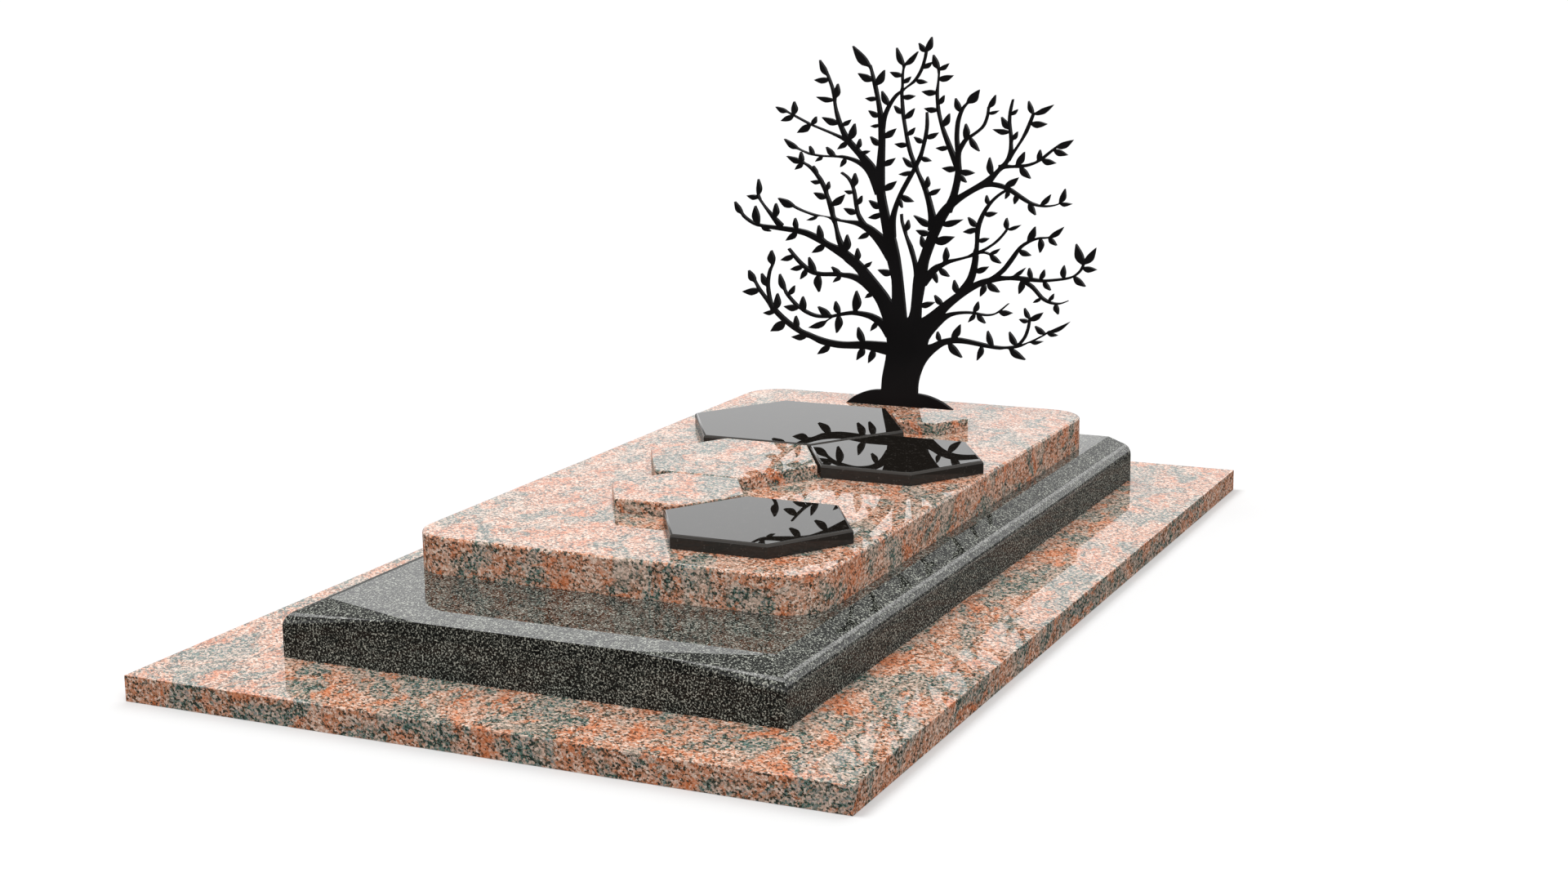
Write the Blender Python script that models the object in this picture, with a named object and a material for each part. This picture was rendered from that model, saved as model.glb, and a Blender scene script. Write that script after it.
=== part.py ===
"""A grave monument in polished granite: a wide flat base slab, a low dark plinth with sloped sides, a tomb
slab with rounded corners, six hexagonal plaques lying on it, and a flat cut-out tree that stands near its
head.

The origin is at the middle of the underside. X runs across, Y from the front to the head, and Z up. Sizes
are metres."""

import math

import bmesh
import bpy
import numpy as np
from mathutils import Vector
from mathutils.geometry import delaunay_2d_cdt

# Space kept between two stones that rest on each other
GAP = 0.0003

# Base slab
BASE_WIDTH = 1.40
BASE_LENGTH = 2.30
BASE_HEIGHT = 0.048
BASE_ARRIS = 0.0015

# Plinth
PLINTH_WIDTH = 1.00
PLINTH_LENGTH = 1.92
PLINTH_HEIGHT = 0.0985
PLINTH_FRONT_MARGIN = 0.195
# Across the long side: from the flat top down the slope, then round the nose to the upright side
SLOPE_INSET = 0.055
NOSE_INSET = 0.0165
NOSE_DROP = 0.0143
NOSE_HEIGHT = 0.0277
NOSE_STEPS = 5
# Each front corner of the flat top is cut back by this, and the cut runs out on the front edge at the apex
CORNER_CUT_BACK = 0.070
APEX_FROM_MIDDLE = 0.2145

# Tomb slab
TOMB_WIDTH = 0.845
TOMB_HEIGHT = 0.072
TOMB_FRONT_MARGIN = 0.280
TOMB_BACK_MARGIN = 0.078
TOMB_CORNER = 0.089
TOMB_CORNER_STEPS = 12
TOMB_ARRIS = 0.009

# Hexagonal plaques
PLAQUE_HEIGHT = 0.027
BLACK_ARRIS = 0.006
PINK_ARRIS = 0.003
# Name: middle of the plaque from the tomb slab's middle, half its length across, half its width, arris
PLAQUES = {
    "plaque_black_rear": (-0.1095, 0.3135, 0.2565, 0.2103, BLACK_ARRIS),
    "plaque_black_middle": (0.2165, 0.0940, 0.1970, 0.1620, BLACK_ARRIS),
    "plaque_black_front": (0.1920, -0.5265, 0.1970, 0.1615, BLACK_ARRIS),
    "plaque_pink_middle": (-0.0820, -0.0700, 0.1930, 0.1650, PINK_ARRIS),
    "plaque_pink_front": (-0.0610, -0.3605, 0.1470, 0.1225, PINK_ARRIS),
    "plaque_pink_rear": (0.1425, 0.4795, 0.0920, 0.0780, PINK_ARRIS),
}

# Tree: its height, its plate's thickness, and how far its front face is from the tomb slab's back
TREE_HEIGHT = 0.860
TREE_THICKNESS = 0.012
TREE_BACK_MARGIN = 0.106
CURVE_STEPS = 3
LEAF_WIDTH = 0.39
LEAST_LEAF_WIDTH = 0.8
# The least corner of the outline that is kept, in degrees, and the least hole, in square centimetres
KEPT_CORNER = 5.0
LEAST_HOLE = 0.04

# The tree's drawing is in centimetres: across from the monument's middle, and up from the tree's foot
MOUND = [
    (-14.8, 0), (-12.6, 1.7), (-10.0, 2.9), (-7.6, 3.5), (-4.0, 3.8),
    (3.2, 3.3), (5.6, 3.0), (8.0, 2.3), (10.0, 1.4), (12.2, 0),
]  # fmt: skip
TRUNK = [
    (-5.9, 2.0), (-5.5, 6.8), (-5.0, 9.3), (-4.6, 11.2), (-4.2, 14.8), (-4.5, 17.4), (-5.0, 20.2),
    (-3.4, 23.9), (-1.5, 22.5), (0.5, 21.0), (2.5, 22.5), (4.1, 20.6), (6.3, 17.0), (5.7, 15.1),
    (8.6, 14.3), (6.6, 12.5), (5.0, 10.3), (4.0, 8.0), (3.4, 5.6), (3.2, 2.0),
]  # fmt: skip

# A branch is whether it rises or spreads, its centre line as (across, up, width), and its leaves. A leaf is
# the place of its tip, and the place of its foot along the branch: the height on a rising branch, the
# distance across on a spreading one. A fourth number is a width of its own. END stands for the end of the
# branch.
RISES = 1
SPREADS = 0
END = None
BRANCHES = [
    # Left main stem
    (RISES,
     [(-1.0, 17, 4.4), (-1.6, 25, 2.8), (-1.8, 30, 2.5), (-2.7, 35, 3.1), (-3.7, 40, 2.7),
      (-4.9, 45, 2.0), (-5.85, 50, 1.9), (-6.0, 55, 1.9), (-5.6, 60, 1.4), (-5.6, 65, 1.3),
      (-6.1, 70, 0.9), (-7.2, 75, 0.7), (-8.5, 79.5, 0.5)],
     [(-12.7, 83.9, END, 1.9), (-11.4, 77.7, 76), (-9.6, 72, 72), (-8.8, 69.2, 67.6), (-8.3, 65.6, 66),
      (-8.4, 63.2, 60.9), (-4.9, 78.5, 74.8), (-2.1, 65.2, 62.8), (-2.3, 58.4, 56.4),
      (-2.0, 53.1, 50.6), (-8.8, 48.4, 46.3), (-9.0, 44.3, 45.6), (-6.6, 32.2, 31.2)]),
    # Arching shoot of the left stem
    (RISES,
     [(-5.5, 65, 1.2), (-5.0, 67.5, 0.9), (-3.8, 70.2, 0.7), (-1.9, 72.8, 0.6), (0.7, 74.6, 0.5),
      (2.8, 76.4, 0.5), (4.4, 79, 0.45), (5.3, 82, 0.4), (5.4, 83, 0.35)],
     [(6.8, 86.1, END, 1.3), (3.7, 84.7, END, 1.1), (6.9, 80.5, 79), (5.7, 75.8, 76.4),
      (-5.5, 73.7, 70.3, 1.3)]),
    # Lowest left branch and its shoot
    (SPREADS,
     [(-2, 13.4, 3.6), (-6, 13.7, 2.6), (-10, 14.1, 1.9), (-15, 13.7, 1.6), (-20, 14.1, 1.5),
      (-25, 15.6, 1.3), (-30, 18.2, 1.1), (-34, 21.6, 1.0), (-37.2, 25.5, 0.7), (-38.8, 28.0, 0.4)],
     [(-40.3, 30.4, END, 1.5), (-42.0, 25.2, -37.4), (-36.5, 20.3, -33.2), (-34.6, 15.9, -30.8, 2.1),
      (-32.8, 25.2, -33.3, 1.5), (-28.0, 20.0, -27.4), (-29.1, 14.9, -24.6, 1.5), (-22.3, 11.1, -18.9),
      (-12.1, 10.3, -10.3, 1.5), (-9.1, 9.8, -7.7, 1.4), (-11.8, 18.2, -10.1)]),
    (RISES,
     [(-34.0, 21.0, 0.9), (-34.8, 24, 0.75), (-35.25, 27, 0.6), (-34.8, 30.2, 0.5), (-33.8, 32.4, 0.4)],
     [(-34.2, 35.5, END, 1.7), (-36.9, 29.8, 26.6)]),
    # Second left branch and its twig
    (SPREADS,
     [(-3.5, 17.0, 2.6), (-5.5, 19.3, 1.9), (-8.5, 21.0, 1.3), (-12.5, 21.6, 1.0), (-16, 21.1, 0.8),
      (-19, 20.4, 0.7), (-23, 20.4, 0.7), (-27, 22.1, 0.6), (-30, 24.9, 0.5), (-30.9, 26.4, 0.4)],
     [(-32.1, 29.9, END, 1.3), (-28.3, 27.3, -29.9), (-31.0, 22.2, -26.9), (-26.1, 24.8, -25.7, 1.4),
      (-22.1, 22.6, -18.8, 1.5), (-17.6, 24.1, -16.6, 1.3), (-12.2, 26.9, -12.6), (-17.3, 16.5, -16.8),
      (-8.5, 17.5, -6.9)]),
    (SPREADS, [(-17.5, 20.8, 0.5), (-19, 19.8, 0.45), (-20.4, 19.0, 0.4)], [(-24.6, 17.4, END, 1.5)]),
    # Great left limb
    (SPREADS,
     [(-2.5, 19.5, 4.5), (-5.0, 24.5, 3.4), (-7.4, 27.8, 3.0), (-11.1, 32.2, 2.3), (-15, 35.3, 2.1),
      (-20, 37.9, 1.5), (-25, 40.0, 1.3), (-30, 40.8, 1.1), (-35, 41.1, 0.8), (-38.5, 41.7, 0.6),
      (-41, 43.1, 0.5), (-42.0, 44.2, 0.4)],
     [(-43.7, 46.8, END, 1.2), (-38.3, 46.0, -37.6), (-34.3, 40.0, -36.9, 0.8), (-27.9, 43.5, -27.4),
      (-30.3, 38.0, -27.3), (-21.8, 42.0, -20.7), (-23.5, 35.4, -20.0), (-14.5, 40.1, -15.0),
      (-11.9, 37.0, -12.1), (-8.3, 34.0, -11.0), (-9.9, 25.3, -7.2, 1.1)]),
    (RISES,
     [(-31.5, 41.3, 1.4), (-34, 43.8, 0.9), (-36, 46.4, 0.7), (-37.7, 48.7, 0.5)],
     [(-37.4, 52.4, END, 1.1), (-40.4, 48.4, 48.0), (-32.9, 46.8, 43.0)]),
    # Its lower branch
    (SPREADS,
     [(-7.2, 27.0, 2.6), (-10, 29.0, 1.9), (-13, 30.2, 1.3), (-17, 30.6, 1.0), (-21, 30.4, 0.9),
      (-24, 31.0, 0.9), (-27, 33.2, 0.7), (-28.6, 35.0, 0.55), (-29.6, 36.1, 0.4)],
     [(-31.7, 33.3, -28.3), (-29.2, 31.2, -25.8), (-26.6, 28.9, -25.1), (-24.4, 34.3, -22.6, 1.3),
      (-21.8, 26.1, -22.0, 1.7), (-18.5, 32.3, -16.0), (-18.1, 28.6, -16.1)]),
    # Its upper branch
    (RISES,
     [(-14.5, 34.5, 1.6), (-16.2, 38.0, 1.1), (-17.4, 41.5, 0.9), (-18.4, 46, 0.95), (-19.9, 50.3, 0.8),
      (-21.6, 53.3, 0.7), (-23.8, 55.6, 0.5), (-26.0, 56.9, 0.35)],
     [(-29.8, 58.1, END, 1.3), (-26.2, 59.2, END), (-27.7, 54.9, 56.8), (-23.0, 56.0, 53.6),
      (-23.7, 52.4, 52.2), (-19.1, 52.4, 50.0), (-22.9, 49.7, 48.5), (-15.1, 49.5, 46.7)]),
    # Third left limb and its shoot
    (SPREADS,
     [(-3.2, 35.0, 2.4), (-5.2, 38.3, 2.6), (-8, 41.0, 1.9), (-10.8, 42.6, 1.3), (-14, 43.3, 0.9),
      (-18, 43.7, 0.7), (-22, 44.2, 0.5), (-26, 45.3, 0.4), (-28.5, 46.4, 0.35)],
     [(-32.2, 48.1, END, 1.7), (-24.8, 43.1, -22.0, 0.8), (-11.6, 39.2, -8.4)]),
    (RISES,
     [(-9.8, 42.2, 1.2), (-11.6, 45, 0.7), (-12.3, 48.5, 0.6), (-12.9, 51.4, 0.5), (-14.1, 53.4, 0.4),
      (-15.8, 54.6, 0.35)],
     [(-12.4, 54.6, 51.2, 1.4), (-15.0, 50.4, 50.0), (-15.2, 46.3, 45.2), (-10.7, 49.4, 47.0)]),
    # Upper left limb, its side branch and its twig
    (SPREADS,
     [(-6.2, 50, 2.0), (-7.8, 54, 1.9), (-9.8, 56.2, 1.2), (-12.5, 57.6, 0.8), (-16, 58.35, 0.6),
      (-20, 58.3, 0.45), (-24, 58.8, 0.4), (-27.2, 60.0, 0.35)],
     [(-30.4, 62.1, END, 1.2), (-23.9, 60.6, -22.8, 0.8), (-22.4, 57.0, -20.7), (-19.6, 60.5, -17.4),
      (-16.0, 55.9, -14.8)]),
    (RISES,
     [(-6.6, 53, 2.4), (-8.6, 56.3, 2.0), (-11.2, 59.2, 1.4), (-14, 62.0, 1.3), (-15.7, 65, 0.9),
      (-16.8, 68, 0.7), (-17.3, 71, 0.6), (-17.9, 74, 0.5), (-19.2, 77.3, 0.4)],
     [(-21.1, 80.6, END, 1.2), (-22.5, 76.0, 76.2), (-16.6, 75.2, 71.6, 1.3), (-22.0, 72.1, 71.4, 1.2),
      (-20.6, 67.4, 65.9, 1.5), (-13.4, 67.0, 65.4), (-12.4, 66.1, 61.9), (-16.7, 60.0, 62.2),
      (-11.1, 62.6, 59.8), (-8.6, 59.8, 59.4)]),
    (SPREADS,
     [(-13.8, 61.8, 0.9), (-16.5, 63.1, 0.6), (-20, 64.2, 0.45), (-24, 65.8, 0.35), (-28, 67.7, 0.3),
      (-29.8, 68.5, 0.3)],
     [(-32.5, 69.6, END, 1.1), (-27.8, 70.9, -28.0, 1.3), (-31.2, 66.3, -28.1, 1.3),
      (-22.2, 67.5, -23.3, 1.0), (-27.0, 63.6, -23.8, 1.6)]),
    # Shoot that crosses the middle from the left stem
    (RISES,
     [(-3.0, 40, 1.6), (-2.9, 44, 1.2), (-2.0, 47.5, 0.9), (-0.6, 50.7, 0.75), (1.3, 54, 0.75),
      (3.2, 57.2, 0.8), (4.4, 60, 0.65), (5.3, 63.5, 0.6), (5.7, 66.5, 0.5), (5.6, 69.1, 0.25)],
     [(2.3, 48.4, 49.9), (-0.5, 46.9, 49.3, 0.8), (-1.3, 54.7, 55.4, 1.1), (-0.3, 58.6, 56.2, 1.1),
      (6.7, 57.9, 58.9), (8.4, 64.5, 63.2), (2.5, 63.4, 62.0)]),
    # Stem that crosses the middle from the right
    (RISES,
     [(7.2, 42, 2.4), (6.9, 45.5, 1.6), (5.8, 50, 1.1), (4.0, 54.3, 0.85), (2.1, 58.2, 0.7),
      (0.9, 62, 0.65), (0.0, 66.5, 0.6), (-0.5, 71, 0.5), (-0.5, 75.5, 0.45), (0.0, 79.8, 0.45)],
     [(-1.8, 83.6, END, 1.2), (3.4, 82.8, END, 1.1), (-3.4, 78.1, 77.2), (1.6, 77.1, 75.5),
      (2.7, 72.7, 72.5), (-2.4, 70.4, 68.5), (2.5, 69.9, 67.3, 1.2), (2.6, 65.5, 63.5),
      (-2.3, 61.7, 61.5), (5.8, 54.4, 51.2), (8.9, 51.7, 50.2)]),
    # Slender shoot in the crotch
    (RISES,
     [(3.3, 30, 1.2), (2.7, 34, 0.95), (1.6, 38, 0.7), (0.3, 41.3, 0.5), (-0.5, 43.5, 0.4),
      (-0.7, 45.5, 0.35)],
     [(1.0, 44.2, 41.3)]),
    # Right main stem
    (RISES,
     [(1.5, 16, 5.0), (2.8, 22, 2.7), (3.2, 26, 2.4), (3.9, 30.5, 2.9), (4.9, 35, 2.3), (6.8, 40, 2.2),
      (8.6, 44.2, 2.4), (11.2, 47.8, 1.9), (15, 50.6, 1.4), (20, 53.4, 1.6), (22.5, 55.7, 1.1),
      (25, 58.4, 1.0), (27.5, 61.6, 0.6), (29.5, 65, 0.55), (30.9, 68.3, 0.5), (31.3, 69.5, 0.4)],
     [(36.0, 71.4, END, 1.3), (30.1, 72.1, END, 1.0), (34.5, 67.0, 67.2), (20.9, 59.2, 54.7, 1.3),
      (2.4, 45.3, 42.6, 1.4), (3.0, 41.9, 40.9), (4.2, 40.6, 37.0), (14.5, 44.8, 43.4, 1.5),
      (12.4, 40.7, 39.4), (7.6, 25.2, 24.2, 1.4)]),
    # Upright branch of the right stem, with its left and right shoots
    (RISES,
     [(10.8, 46.5, 1.8), (12.2, 50.5, 1.7), (13.3, 55, 1.3), (13.4, 59.5, 1.0), (12.95, 63, 0.8),
      (13.2, 67, 0.75), (14.3, 70, 0.55), (15.7, 71.5, 0.4)],
     [(18.3, 74.4, END, 1.9), (12.6, 72.4, 69.2), (9.4, 56.5, 56.4), (17.3, 55.5, 56.0),
      (15.3, 53.3, 55.4)]),
    (RISES,
     [(13.2, 56.5, 1.2), (12.1, 59.2, 1.1), (10.7, 62.3, 0.8), (9.3, 66, 0.65), (8.4, 69.7, 0.6),
      (8.1, 73.5, 0.5), (8.3, 77, 0.45), (8.5, 79.2, 0.4)],
     [(7.2, 82.1, END, 1.3), (10.9, 80.2, 78.6, 1.0), (12.0, 77.5, 76.6), (4.4, 73.8, 73.6),
      (9.8, 73.0, 70.7), (5.0, 70.0, 69.6), (11.1, 68.9, 65.7), (7.9, 61.0, 61.2)]),
    (RISES,
     [(13.4, 60.2, 1.0), (15, 62.9, 0.8), (17.3, 64.5, 0.6), (19.3, 66.2, 0.5), (20.3, 68.5, 0.4),
      (20.6, 70.6, 0.35)],
     [(22.2, 73.3, END, 1.1), (23.0, 69.8, 69.1, 0.8), (15.1, 66.7, 62.9), (18.4, 60.5, 63.7, 1.2)]),
    # Right crown: a low branch, a drooping branch and an upright shoot
    (SPREADS,
     [(23.2, 57.0, 1.2), (26.5, 57.3, 0.9), (30, 57.7, 0.7), (33, 59, 0.6), (35.5, 60.9, 0.4),
      (36.9, 62.1, 0.35)],
     [(40.7, 63.7, END, 1.5), (39.4, 60.2, 36.1), (29.2, 60.7, 27.2), (30.7, 54.7, 28.1),
      (32.9, 61.3, 32.4), (36.7, 58.3, 33.2)]),
    (SPREADS,
     [(18.5, 52.6, 1.2), (21.5, 53.1, 1.1), (25, 52.4, 0.9), (28, 50.7, 0.8), (31, 49.1, 0.6),
      (34, 48.6, 0.45), (36.5, 48.9, 0.35), (38, 49.5, 0.3)],
     [(38.9, 52.7, END, 1.2), (40.6, 49.3, END, 0.9), (27.8, 54.9, 24.4), (24.8, 49.9, 25.5),
      (27.0, 48.8, 27.3, 1.0), (32.0, 46.5, 30.4), (35.5, 51.3, 33.1, 1.1)]),
    (RISES,
     [(25.3, 58.6, 0.9), (26.0, 61, 0.8), (26.0, 64, 0.6), (25.6, 67.3, 0.5), (25.8, 70, 0.4),
      (26.4, 72.4, 0.2)],
     [(27.5, 70.2, 68.8), (23.7, 68.4, 65.5), (21.7, 65.6, 65.0, 1.2), (27.5, 65.2, 63.0)]),
    # Great right limb
    (SPREADS,
     [(2, 17.5, 5.0), (6.4, 20.6, 3.4), (10, 24.2, 2.1), (14, 27.4, 1.7), (18, 29.9, 1.5),
      (22, 31.3, 1.3), (26, 31.9, 1.0), (30, 31.8, 1.0), (34, 31.6, 0.65), (38, 32.1, 0.55),
      (41, 32.9, 0.5), (42.8, 34.4, 0.45), (43.6, 36.1, 0.4)],
     [(41.7, 40.4, END, 1.8), (46.3, 39.7, END, 1.6), (46.6, 34.7, 43.2), (44.0, 30.8, 41.2, 1.3),
      (38.9, 35.4, 38.9), (35.8, 29.5, 34.0), (34.2, 34.2, 33.2), (30.6, 34.4, 31.3),
      (29.7, 34.4, 26.2, 0.9), (28.3, 28.3, 29.0), (23.5, 28.4, 20.2), (18.9, 27.2, 19.9),
      (12.4, 30.7, 13.5), (7.6, 26.9, 10.0)]),
    (SPREADS,
     [(29, 31.5, 0.9), (31.5, 30, 0.75), (33.6, 27.8, 0.65), (35.8, 26.7, 0.5), (38, 26.6, 0.35),
      (39.9, 27.3, 0.25)],
     [(31.7, 26.5, 33.6), (36.5, 28.8, 35.3, 0.8), (37.7, 24.1, 37.0, 1.1)]),
    (SPREADS,
     [(21.5, 31.3, 1.2), (24.4, 33.6, 1.0), (26.6, 36.4, 0.9), (28.3, 38.8, 0.7), (30.5, 40.4, 0.7),
      (33, 41.3, 0.5), (35.6, 41.6, 0.4)],
     [(38.7, 44.1, END, 1.2), (37.1, 39.8, END, 1.0), (31.9, 43.9, 30.2), (31.0, 37.2, 28.0, 1.2),
      (33.2, 38.0, 33.2, 1.2)]),
    # Branch that arches up from it to the drooping branch
    (RISES,
     [(14.2, 27.8, 2.0), (16.4, 31, 1.6), (17.5, 35, 1.25), (17.75, 39, 1.0), (18.2, 43, 0.9),
      (19.4, 46.2, 0.75), (21.3, 49, 0.6), (23.4, 50.9, 0.55), (25.2, 52, 0.6)],
     [(20.8, 34.2, 32.8), (20.9, 40.7, 40.1), (14.6, 42.0, 42.9), (15.8, 45.4, 43.1),
      (22.8, 46.6, 46.3), (20.2, 50.6, 48.3, 0.8)]),
    # Middle right branch and its twig
    (SPREADS,
     [(4.6, 29.5, 2.0), (7.4, 32.8, 1.6), (10.5, 34.7, 1.1), (14, 35.9, 1.0), (17.5, 37.0, 1.0),
      (20, 38.2, 0.6), (22.5, 39.9, 0.5), (24.5, 42, 0.4), (25.4, 43.3, 0.35)],
     [(25.1, 45.6, END, 1.0), (28.5, 44.1, END, 0.9), (10.4, 38.2, 10.0), (11.2, 31.4, 8.4),
      (8.2, 29.8, 7.4)]),
    (SPREADS,
     [(17.8, 37.2, 0.6), (20, 37.4, 0.4), (21.5, 36.9, 0.35)],
     [(23.8, 35.1, END, 1.1), (23.5, 38.5, 21.0, 0.9)]),
    # Thin right branch
    (SPREADS,
     [(4.2, 16.2, 3.0), (6.4, 18.7, 2.4), (9.8, 21.7, 1.5), (12.8, 22.9, 0.8), (16.5, 23.3, 0.5),
      (20, 22.95, 0.4), (22.3, 23.3, 0.4), (24, 24.4, 0.35), (25.7, 25.9, 0.2)],
     [(26.7, 23.7, 23.4), (18.3, 26.0, 17.3, 1.1), (16.0, 21.0, 17.5, 0.9), (20.1, 21.0, 18.1, 1.0)]),
    # Lowest right branch and its shoot
    (SPREADS,
     [(2.5, 11.5, 4.6), (6.3, 13.9, 2.6), (9.5, 15.8, 1.6), (13, 16.6, 1.3), (17, 16.3, 0.9),
      (20, 15.8, 0.8), (24, 15.5, 0.7), (28, 16.1, 0.6), (31, 17.3, 0.45), (34, 18.9, 0.4),
      (35.6, 20.1, 0.35)],
     [(40.5, 22.6, END, 1.1), (37.6, 19.2, 35.1, 0.8), (34.2, 17.6, 31.0, 0.8), (32.2, 21.1, 34.6),
      (26.0, 19.4, 27.9, 1.2), (20.7, 19.3, 22.0, 1.2), (13.9, 20.4, 11.7), (8.3, 18.4, 9.1),
      (14.4, 12.6, 10.8, 1.5), (18.2, 12.2, 19.3, 1.2), (29.9, 13.1, 25.9, 1.4)]),
    (RISES,
     [(28, 16.2, 0.7), (29.7, 18.3, 0.55), (30.6, 20.8, 0.45), (30.9, 23, 0.35)],
     [(34.0, 24.3, 22.4), (29.6, 25.1, END, 0.9), (28.4, 22.5, 22.0)]),
]  # fmt: skip

# Shape of a leaf: at each share of its length from the foot, the half width as a share of the greatest half
# width, and how far its middle line swings to one side as a share of its length
LEAF_SHAPE = [(0.0, 0.25, 0.0), (0.22, 0.82, 0.05), (0.47, 1.0, 0.065), (0.76, 0.52, 0.03), (1.0, 0.0, 0.0)]
# How far out of its branch a leaf starts, as a share of the branch's half width there
LEAF_START = 0.7
# How far a leaf at the end of a branch laps over it
LEAF_LAP = 0.3


def make_material(name, color, roughness):
    material = bpy.data.materials.new(name)
    material.use_nodes = True
    shader = material.node_tree.nodes["Principled BSDF"]
    shader.inputs["Base Color"].default_value = (*color, 1.0)
    shader.inputs["Roughness"].default_value = roughness
    return material


def make_object(name, bm, material):
    """A solid object with its normals pointing out."""
    bmesh.ops.recalc_face_normals(bm, faces=bm.faces)
    mesh = bpy.data.meshes.new(name)
    bm.to_mesh(mesh)
    bm.free()
    mesh.materials.append(material)
    result = bpy.data.objects.new(name, mesh)
    bpy.context.scene.collection.objects.link(result)
    return result


def inset(outline, distance):
    """The convex outline with each side moved in by the distance."""
    result = []
    count = len(outline)
    for index, corner in enumerate(outline):
        here = Vector(corner)
        before = (here - Vector(outline[index - 1])).normalized()
        after = (Vector(outline[(index + 1) % count]) - here).normalized()
        inward = Vector((-before.y - after.y, before.x + after.x))
        reach = inward.length_squared / 2
        result.append(tuple(here + inward * (distance / reach)))
    return result


def stone_slab(name, outline, bottom, top, arris, steps, material):
    """A slab with the given plan, upright sides and a rounded edge round its top."""
    rings = [(0.0, bottom), (0.0, top - arris)]
    for step in range(1, steps + 1):
        angle = math.pi / 2 * step / steps
        rings.append((arris * (1 - math.cos(angle)), top - arris + arris * math.sin(angle)))
    bm = bmesh.new()
    made = []
    for distance, height in rings:
        plan = inset(outline, distance)
        made.append([bm.verts.new((x, y, height)) for x, y in plan])
    count = len(outline)
    for low, high in zip(made, made[1:]):
        for index in range(count):
            after = (index + 1) % count
            bm.faces.new((low[index], low[after], high[after], high[index]))
    bm.faces.new(made[0])
    bm.faces.new(made[-1])
    return make_object(name, bm, material)


def rectangle(width, front, back):
    return [(-width / 2, front), (width / 2, front), (width / 2, back), (-width / 2, back)]


def rounded_rectangle(width, front, back, radius, steps):
    half = width / 2 - radius
    corners = [
        (half, front + radius, -math.pi / 2),
        (half, back - radius, 0.0),
        (-half, back - radius, math.pi / 2),
        (-half, front + radius, math.pi),
    ]
    result = []
    for x, y, start in corners:
        for step in range(steps + 1):
            angle = start + math.pi / 2 * step / steps
            result.append((x + radius * math.cos(angle), y + radius * math.sin(angle)))
    return result


def hexagon(x, y, half_length, half_width):
    """A hexagon with one corner to each side and flat edges to the front and back."""
    shares = [(1, 0), (0.5, 1), (-0.5, 1), (-1, 0), (-0.5, -1), (0.5, -1)]
    return [(x + across * half_length, y + along * half_width) for across, along in shares]


def plinth_profile(top):
    """Points (inset from the side, height) from the upright side over nose and slope to the flat top."""
    slope_foot = top - NOSE_DROP
    slope = NOSE_DROP / (SLOPE_INSET - NOSE_INSET)
    pull = slope_foot - slope * NOSE_INSET
    start = slope_foot - NOSE_HEIGHT
    result = []
    for step in range(NOSE_STEPS + 1):
        share = step / NOSE_STEPS
        height = (1 - share) ** 2 * start + 2 * share * (1 - share) * pull + share**2 * slope_foot
        result.append((share**2 * NOSE_INSET, height))
    result.append((SLOPE_INSET, top))
    return result


def make_plinth(material):
    """A low block: its long sides slope and round down, and the cut tapers out round each front corner."""
    bottom = BASE_HEIGHT + GAP
    top = bottom + PLINTH_HEIGHT
    front = -BASE_LENGTH / 2 + PLINTH_FRONT_MARGIN
    back = front + PLINTH_LENGTH
    half = PLINTH_WIDTH / 2
    profile = plinth_profile(top)
    bm = bmesh.new()
    apexes = []
    corners = []
    ends = []
    feet = []
    for side in (-1, 1):
        apexes.append(bm.verts.new((side * APEX_FROM_MIDDLE, front, top)))
        turn = CORNER_CUT_BACK / SLOPE_INSET
        corners.append([bm.verts.new((side * (half - x), front + x * turn, z)) for x, z in profile])
        ends.append([bm.verts.new((side * (half - x), back, z)) for x, z in profile])
        feet.append([bm.verts.new((side * half, y, bottom)) for y in (front, back)])
    for apex, corner, end, foot in zip(apexes, corners, ends, feet):
        for index in range(len(profile) - 1):
            bm.faces.new((apex, corner[index], corner[index + 1]))
            bm.faces.new((corner[index], end[index], end[index + 1], corner[index + 1]))
        bm.faces.new((foot[0], foot[1], end[0], corner[0]))
    left, right = 0, 1
    across_front = (apexes[right], apexes[left])
    bm.faces.new((feet[left][0], feet[right][0], corners[right][0], *across_front, corners[left][0]))
    flat_top = (corners[right][-1], ends[right][-1], ends[left][-1], corners[left][-1])
    bm.faces.new((apexes[left], apexes[right], *flat_top))
    bm.faces.new((feet[left][1], *ends[left], *reversed(ends[right]), feet[right][1]))
    bm.faces.new((feet[left][0], feet[left][1], feet[right][1], feet[right][0]))
    return make_object("plinth", bm, material)


def smooth_line(points, steps):
    """The centre line through the given points, with some points more between each two."""
    count = len(points)
    rows = [np.array(point, dtype=float) for point in points]
    result = []
    for index in range(count - 1):
        before = rows[max(index - 1, 0)]
        start = rows[index]
        end = rows[index + 1]
        after = rows[min(index + 2, count - 1)]
        for step in range(steps):
            t = step / steps
            result.append(
                0.5
                * (
                    2 * start
                    + (end - before) * t
                    + (2 * before - 5 * start + 4 * end - after) * t**2
                    + (3 * start - before - 3 * end + after) * t**3
                )
            )
    result.append(rows[-1])
    return np.array(result)


def branch_outline(line):
    """The outline of a branch with the given centre line and widths."""
    left = []
    right = []
    for index, (x, z, width) in enumerate(line):
        ahead = line[min(index + 1, len(line) - 1)]
        behind = line[max(index - 1, 0)]
        along = Vector((ahead[0] - behind[0], ahead[1] - behind[1])).normalized()
        left.append((x - along.y * width / 2, z + along.x * width / 2))
        right.append((x + along.y * width / 2, z - along.x * width / 2))
    return right + left[::-1]


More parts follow.
